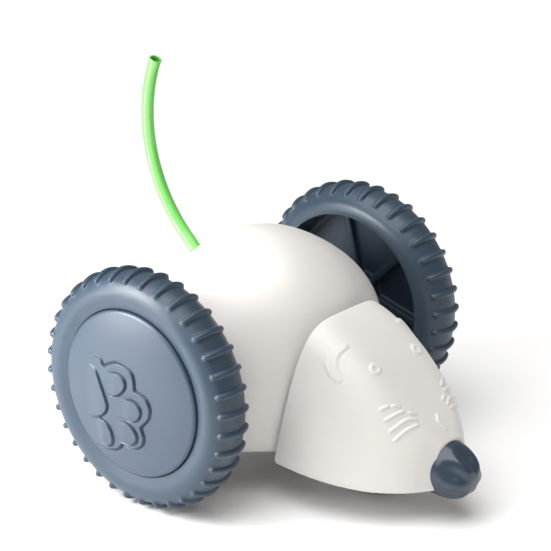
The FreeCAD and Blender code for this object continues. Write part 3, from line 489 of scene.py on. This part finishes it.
NOSE_LEVEL = -18.9
NOSE_BACK = -63.1
NOSE_TIP = -72.9
NOSE_RADIUS = 7.6
NOSE_TILT = math.radians(12.0)
NOSE_LOBES = 6
NOSE_FLUTE = 0.19


def make_nose():
    """Rubber nose: a blunt dome, plain and round at the back and scooped into six facets towards its tip."""
    rings, steps = 90, 240
    share = np.linspace(0, 1, rings)
    turn = np.linspace(0, 2 * math.pi, steps, endpoint=False)
    depth = NOSE_BACK - NOSE_TIP
    arc = share * math.pi / 2
    radius = NOSE_RADIUS * np.cos(arc) ** 0.62
    place = NOSE_BACK - depth * np.sin(arc) ** 1.1
    lobe = 0.5 - 0.5 * np.cos(NOSE_LOBES * (turn - math.pi / 2))
    bite = NOSE_FLUTE * smoothstep(share, 0.14, 0.5) * (1 - 0.5 * smoothstep(share, 0.7, 1.0))
    radii = radius[:, None] * (1 - bite[:, None] * (1 - lobe[None, :]))
    outer = np.stack([radii * np.cos(turn), np.repeat(place[:, None], steps, 1),
                      NOSE_LEVEL + radii * np.sin(turn)], -1)
    outer = outer[:-1]
    edge = []
    for angle in np.linspace(0.2, math.pi / 2, 6):
        ring = outer[0].copy()
        ring[:, 1] = NOSE_BACK + 0.6 * math.sin(angle)
        scale = (NOSE_RADIUS - 0.6 * (1 - math.cos(angle))) / NOSE_RADIUS
        ring[:, 0] *= scale
        ring[:, 2] = NOSE_LEVEL + (ring[:, 2] - NOSE_LEVEL) * scale
        edge.append(ring)
    rows = np.array(edge[::-1] + list(outer))
    points = np.vstack([rows.reshape(-1, 3), (0, NOSE_TIP, NOSE_LEVEL), (0, NOSE_BACK + 0.6, NOSE_LEVEL)])
    forward, lift = points[:, 1] - NOSE_BACK, points[:, 2] - NOSE_LEVEL
    points[:, 1] = NOSE_BACK + forward * math.cos(NOSE_TILT) - lift * math.sin(NOSE_TILT)
    points[:, 2] = NOSE_LEVEL + forward * math.sin(NOSE_TILT) + lift * math.cos(NOSE_TILT)
    faces = grid_faces(len(rows), steps, False, True)
    tip, hub = len(points) - 2, len(points) - 1
    last = (len(rows) - 1) * steps
    faces += [[tip, last + step, last + (step + 1) % steps] for step in range(steps)]
    faces += [[hub, (step + 1) % steps, step] for step in range(steps)]
    return make_object("nose_knob", points, faces, NOSE_SLATE, "chassis", ["nose"])


# ------------------------------------------------------------------ tail

TAIL_ROOT = np.array([0.0, 21.6, 19.0])
TAIL_LEAN = math.radians(43.0)
TAIL_STRAIGHT = 6.0
TAIL_GAP = 0.6
TAIL_ARC = 43.2
TAIL_SWEEP = math.radians(69.4)
TAIL_RADIUS = 1.75
TAIL_BORE = 1.25


def make_tail():
    """Green tube: straight over its peg, then one long arc; open at the top."""
    way = np.array([0, math.cos(TAIL_LEAN), math.sin(TAIL_LEAN)])
    lift = np.array([0, -math.sin(TAIL_LEAN), math.cos(TAIL_LEAN)])
    bend = TAIL_ROOT + way * TAIL_STRAIGHT
    centre = bend + lift * TAIL_ARC
    stations = [(TAIL_ROOT + way * place, way) for place in np.linspace(TAIL_GAP, TAIL_STRAIGHT, 8)]
    for angle in np.linspace(0, TAIL_SWEEP, 90)[1:]:
        heading = way * math.cos(angle) + lift * math.sin(angle)
        stations.append((centre + TAIL_ARC * (way * math.sin(angle) - lift * math.cos(angle)), heading))
    steps = 48
    turn = np.linspace(0, 2 * math.pi, steps, endpoint=False)
    side = np.array([1.0, 0, 0])

    def ring(station, radius, shift=0.0):
        """One ring of the tube about a station, moved a little along the tube."""
        point, heading = station
        up = np.cross(heading, side)
        return (point + heading * shift + radius * (np.outer(np.cos(turn), side) + np.outer(np.sin(turn), up)))

    wall = (TAIL_RADIUS - TAIL_BORE) / 2
    mid = (TAIL_RADIUS + TAIL_BORE) / 2
    rows = [ring(station, TAIL_RADIUS) for station in stations]
    for angle in np.linspace(0, math.pi, 7)[1:-1]:
        rows.append(ring(stations[-1], mid + wall * math.cos(angle), 0.25 * math.sin(angle)))
    rows += [ring(station, TAIL_BORE) for station in reversed(stations)]
    rows = np.array(rows)
    faces = grid_faces(len(rows), steps, True, True)
    return make_object("tail_hose", rows.reshape(-1, 3), faces, TAIL_GREEN, "tail", ["tail_tube"])


# ------------------------------------------------------------------ wheels

RIB_COUNT = 36
RIB_TURN = math.radians(6.5)
RIB_HALF_WIDTH = 0.95
RIB_HEIGHT = 1.05
RIB_MIDDLE = 44.4
RIB_REACH = 5.6
TYRE_OUTSIDE = [(37.25, 24.5), (37.2, 26.0), (37.9, 28.1), (39.9, 30.0), (42.0, 31.0), (44.4, 31.4),
                (46.8, 31.0), (48.9, 30.0), (50.2, 28.0), (50.5, 26.0), (50.0, 24.0), (49.6, 22.7)]
TYRE_SEAT = [(48.7, 22.6), (48.6, 26.4), (43.0, 26.4), (38.3, 26.4), (38.2, 24.5)]


def make_tyre(side):
    """Tyre: rounded walls, with round-ended ribs raised across the tread."""
    outside = spline(TYRE_OUTSIDE, 110)
    profile = np.vstack([outside, TYRE_SEAT])
    period = 2 * math.pi / RIB_COUNT
    half = np.array([0.0, 0.22, 0.42, 0.6, 0.74, 0.84, 0.91, 0.95, 1.0, 1.15, 1.45, 1.9, 2.4])
    offsets = np.concatenate([-half[:0:-1], half]) / 31.4
    start = RIB_TURN if side == "left" else -RIB_TURN
    angles = (np.arange(RIB_COUNT)[:, None] * period + offsets[None, :]).ravel() + start
    distance = np.tile(np.abs(offsets) * 31.4, RIB_COUNT)
    tangent = np.gradient(outside, axis=0)
    normal = np.stack([-tangent[:, 1], tangent[:, 0]], 1)
    normal /= np.linalg.norm(normal, axis=1, keepdims=True)
    run = np.concatenate([[0], np.cumsum(np.linalg.norm(np.diff(outside, axis=0), axis=1))])
    run -= np.interp(RIB_MIDDLE, outside[:80, 0], run[:80])
    beyond = np.maximum(np.abs(run) - (RIB_REACH - RIB_HALF_WIDTH), 0.0)
    away = np.sqrt(beyond[:, None] ** 2 + distance[None, :] ** 2)
    swell = RIB_HEIGHT * np.sqrt(np.clip(1 - (away / RIB_HALF_WIDTH) ** 2, 0, 1))
    foot = 0.10 * (1 - smoothstep(away, RIB_HALF_WIDTH * 0.9, RIB_HALF_WIDTH * 1.5))
    lift = np.maximum(swell, foot)
    heights = np.vstack([lift, np.zeros((len(TYRE_SEAT), len(angles)))])
    normals = np.vstack([normal, np.zeros((len(TYRE_SEAT), 2))])
    x = profile[:, :1] + normals[:, :1] * heights
    radius = profile[:, 1:] + normals[:, 1:] * heights
    points = np.stack([x, radius * np.cos(angles), radius * np.sin(angles)], -1).reshape(-1, 3)
    faces = grid_faces(len(profile), len(angles), True, True)
    return make_object(f"tyre_{side}_ribbed", wheel_side(points, side), faces, TYRE_SLATE, "wheelset",
                       [f"tyre_{side}"])


SPOKE_COUNT = 6
SPOKE_TURN = math.radians(15.0)
RIM_PROFILE = [(38.4, 1.55), (38.4, 4.6), (38.8, 5.0), (46.2, 5.2), (46.8, 5.8), (46.8, 23.8), (46.2, 24.3),
               (38.8, 24.4), (38.2, 24.7), (38.2, 26.35), (48.5, 26.35), (48.5, 1.55)]


def make_rim(side):
    """Wheel centre: hub, web and barrel with six spokes, blended together like one moulding."""
    points, faces = revolved(spline_corners(RIM_PROFILE), 192)
    parts_points, parts_faces = [points], list(faces)
    for number in range(SPOKE_COUNT):
        turn = (SPOKE_TURN if side == "left" else -SPOKE_TURN) + number * 2 * math.pi / SPOKE_COUNT
        low = np.array([44.5, 4.2, -1.0])
        high = np.array([47.6, 25.2, 1.0])
        corners = np.array([[x, r, t] for x in (low[0], high[0]) for r in (low[1], high[1]) for t in (low[2], high[2])])
        start = sum(len(part) for part in parts_points)
        placed = np.stack([corners[:, 0], corners[:, 1] * math.cos(turn) - corners[:, 2] * math.sin(turn),
                           corners[:, 1] * math.sin(turn) + corners[:, 2] * math.cos(turn)], 1)
        parts_points.append(placed)
        parts_faces += [[start + corner for corner in quad] for quad in
                        ((0, 1, 3, 2), (4, 6, 7, 5), (0, 4, 5, 1), (2, 3, 7, 6), (0, 2, 6, 4), (1, 5, 7, 3))]
    piece = make_object(f"rim_{side}_spoked", wheel_side(np.vstack(parts_points), side), parts_faces, RIM_SLATE,
                        "wheelset", [f"rim_{side}"])
    apply_modifier(piece, "REMESH", mode="VOXEL", voxel_size=0.42 * MM, use_smooth_shade=True)
    apply_modifier(piece, "SMOOTH", factor=0.5, iterations=6)
    return piece


def spline_corners(corners):
    """The corners with extra points along each straight run, so that the revolved mesh is even."""
    corners = np.array(corners, float)
    result = []
    for start, end in zip(corners, np.roll(corners, -1, 0)):
        count = max(1, int(np.linalg.norm(end - start) / 1.0))
        for step in range(count):
            result.append(start + (end - start) * step / count)
    return np.array(result)


CAP_RADIUS = 22.5
CAP_SEAT = 48.7
CAP_EDGE = 50.45
CAP_DOME = 1.5
CAP_POWER = 2.5
CAP_POCKET = 50.3
PAW_STEP = 0.51
PAW_WALL = 0.14
PAW_FOOT = 0.42
# outlines of the paw in (y, z) about the axle; behind their front edges every part fades into the dome
PAW_PLATE = [(11.8, 8.0), (9.1, 7.9), (7.5, 6.2), (5.7, 7.3), (2.7, 8.4), (-0.3, 8.1), (-2.4, 6.8), (-3.1, 4.6),
             (-3.4, 2.5), (-5.5, 2.0), (-7.5, 0.7), (-8.4, -1.4), (-7.9, -3.8), (-6.3, -5.8), (-5.1, -7.3),
             (-5.8, -9.4), (-5.6, -11.4), (-4.0, -13.2), (-1.8, -14.0), (0.5, -14.0), (1.9, -13.9), (2.9, -15.2),
             (4.6, -16.2), (8.0, -17.0), (13.0, -17.0), (18.0, -13.0), (20.0, -5.0), (19.5, 3.0), (16.5, 7.0)]
PAW_HEEL = [(13.2, 5.2), (10.9, 4.6), (9.8, 3.3), (8.7, 1.3), (7.6, -0.8), (6.6, -3.0), (6.3, -4.4), (6.9, -6.0),
            (8.7, -7.6), (11.3, -8.7), (13.5, -9.2), (18.0, -7.5), (19.5, -2.0), (17.5, 4.0)]
PAW_TOES = [[(8.3, 2.4), (6.5, 4.8), (4.0, 5.8), (1.6, 5.8), (-0.1, 4.6), (-0.3, 2.8), (1.2, 0.8), (3.2, -0.3),
             (6.0, -0.4)],
            [(3.6, -3.4), (2.2, -1.7), (0.0, -0.6), (-2.9, -0.3), (-5.0, -1.4), (-5.6, -2.9), (-4.8, -4.7),
             (-2.9, -5.8), (0.5, -5.9), (3.0, -5.0)],
            [(6.6, -10.0), (5.5, -8.4), (3.2, -7.2), (0.4, -7.0), (-2.2, -7.8), (-3.8, -9.5), (-3.7, -11.3),
             (-2.3, -12.6), (-0.6, -13.0), (3.0, -12.8), (6.0, -12.0)],
            [(13.5, -11.5), (11.9, -9.6), (9.4, -8.7), (7.1, -9.2), (5.5, -10.9), (4.9, -13.1), (5.5, -15.0),
             (8.0, -15.8), (12.0, -14.5)]]


def paw_step(places, knots, slope):
    """A step up inside a smooth outline with a fine groove at its foot, all scaled by slope."""
    distance = outline_distance(places, knots)
    groove = PAW_FOOT * np.exp(-((distance - 0.34) / 0.18) ** 2)
    return slope * (PAW_STEP * (1 - smoothstep(distance, -PAW_WALL, PAW_WALL)) - groove)


def paw_height(y, z):
    """Relief of the paw: heel pad and toes on a raised plate, each rising from its rear side forwards."""
    places = np.stack([y, z], -1)
    height = paw_step(places, PAW_PLATE, smoothstep(y, 15.5, 5.5))
    height = height + paw_step(places, PAW_HEEL, smoothstep(y, 15.5, 7.0))
    for toe in PAW_TOES:
        back, front = max(knot[0] for knot in toe), min(knot[0] for knot in toe)
        rising = smoothstep(y, back - 0.2 * (back - front), back - 0.68 * (back - front))
        height = height + paw_step(places, toe, rising)
    return height


def make_hub_cap(side):
    """Hub cap: low dome with a rounded edge and a raised paw."""
    steps = 840
    rings = np.linspace(0.0, CAP_RADIUS - 0.7, 170)[1:]
    turn = np.linspace(0, 2 * math.pi, steps, endpoint=False)
    radius, angle = np.meshgrid(rings, turn, indexing="ij")
    y, z = radius * np.cos(angle), radius * np.sin(angle)
    dome = CAP_EDGE + CAP_DOME * (1 - (radius / CAP_RADIUS) ** CAP_POWER)
    # the relief is drawn as the right wheel shows it; the left cap is the same part turned round
    face = dome + paw_height(-y, z)
    rows = list(np.stack([face, y, z], -1))
    for bend in np.linspace(0, math.pi / 2, 8)[1:]:
        ring_radius = CAP_RADIUS - 0.7 + 0.7 * math.sin(bend)
        place = CAP_EDGE - 0.7 + 0.75 * math.cos(bend)
        rows.append(np.stack([np.full(steps, place), ring_radius * np.cos(turn), ring_radius * np.sin(turn)], -1))
    for place, ring_radius in ((CAP_SEAT, CAP_RADIUS), (CAP_SEAT, 12.0), (CAP_SEAT, 4.2), (CAP_POCKET, 4.2)):
        rows.append(np.stack([np.full(steps, place), ring_radius * np.cos(turn), ring_radius * np.sin(turn)], -1))
    rows = np.array(rows)
    summit = CAP_EDGE + CAP_DOME + float(paw_height(np.zeros(1), np.zeros(1))[0])
    points = np.vstack([rows.reshape(-1, 3), (summit, 0, 0), (CAP_POCKET, 0, 0)])
    faces = grid_faces(len(rows), steps, False, True)
    tip, back = len(points) - 2, len(points) - 1
    last = (len(rows) - 1) * steps
    faces += [[tip, (step + 1) % steps, step] for step in range(steps)]
    faces += [[back, last + step, last + (step + 1) % steps] for step in range(steps)]
    return make_object(f"hub_cap_{side}_domed", wheel_side(points, side), faces, CAP_SLATE, "wheelset",
                       [f"hub_cap_{side}"])


# ------------------------------------------------------------------ stage

def make_floor():
    """Plain pale floor under the object."""
    mesh = bpy.data.meshes.new("floor")
    reach = 6.0
    mesh.from_pydata([(-reach, -reach, 0), (reach, -reach, 0), (reach, reach, 0), (-reach, reach, 0)], [],
                     [(0, 1, 2, 3)])
    floor = bpy.data.objects.new("floor", mesh)
    bpy.context.scene.collection.objects.link(floor)
    mesh.materials.append(FLOOR_PALE)


def area_light(name, place, width, energy, colour=(1, 1, 1)):
    """A soft square light at a place in millimetres about the axle, aimed at the object."""
    lamp = bpy.data.lights.new(name, "AREA")
    lamp.size = width
    lamp.energy = energy
    lamp.color = colour
    holder = bpy.data.objects.new(name, lamp)
    holder.location = Vector(AXLE + np.array(place) * MM)
    holder.rotation_euler = Vector(place).to_track_quat("Z", "Y").to_euler()
    bpy.context.scene.collection.objects.link(holder)


def make_lights():
    """Plain soft studio light: an even top light, two small softboxes at the left and a dim warm surround."""
    world = bpy.data.worlds.new("studio")
    bpy.context.scene.world = world
    world.use_nodes = True
    background = world.node_tree.nodes["Background"]
    background.inputs["Color"].default_value = (1.0, 0.97, 0.94, 1)
    background.inputs["Strength"].default_value = 0.28
    top = bpy.data.lights.new("top_soft", "SUN")
    top.energy = 2.75
    top.angle = math.radians(60)
    holder = bpy.data.objects.new("top_soft", top)
    holder.rotation_euler = (math.radians(14), 0, math.radians(-100))
    bpy.context.scene.collection.objects.link(holder)
    area_light("side_high", (-150, 80, 78), 0.07, 0.31)
    area_light("side_low", (-165, 100, 12), 0.05, 0.1)
    area_light("side_rear", (-800, 484, 227), 0.15, 1.5)
    area_light("side_front", (-800, 0, 560), 0.35, 1.0)
    area_light("warm_fill", (-1100, -1100, 330), 0.9, 0.7, (1.0, 0.86, 0.72))


def make_camera():
    """Camera at the product view's angle."""
    azimuth, elevation = math.radians(CAMERA_AZIMUTH), math.radians(CAMERA_ELEVATION)
    back = np.array([math.sin(azimuth) * math.cos(elevation), -math.cos(azimuth) * math.cos(elevation),
                     math.sin(elevation)])
    lens = bpy.data.cameras.new("camera")
    lens.lens = CAMERA_LENS
    lens.sensor_width = 36.0
    lens.clip_start = 0.01
    holder = bpy.data.objects.new("camera", lens)
    holder.location = Vector(AXLE + (np.array(CAMERA_TARGET) + back * CAMERA_DISTANCE) * MM)
    holder.rotation_euler = (math.pi / 2 - elevation, 0, azimuth)
    bpy.context.scene.collection.objects.link(holder)
    bpy.context.scene.camera = holder


bpy.context.scene.view_settings.view_transform = "Standard"
make_camera()
make_lights()
make_floor()
finish_cad_nodes()
make_body_shell()
make_head_sleeve()
make_nose()
make_tail()
for wheel in ("left", "right"):
    make_tyre(wheel)
    make_rim(wheel)
    make_hub_cap(wheel)
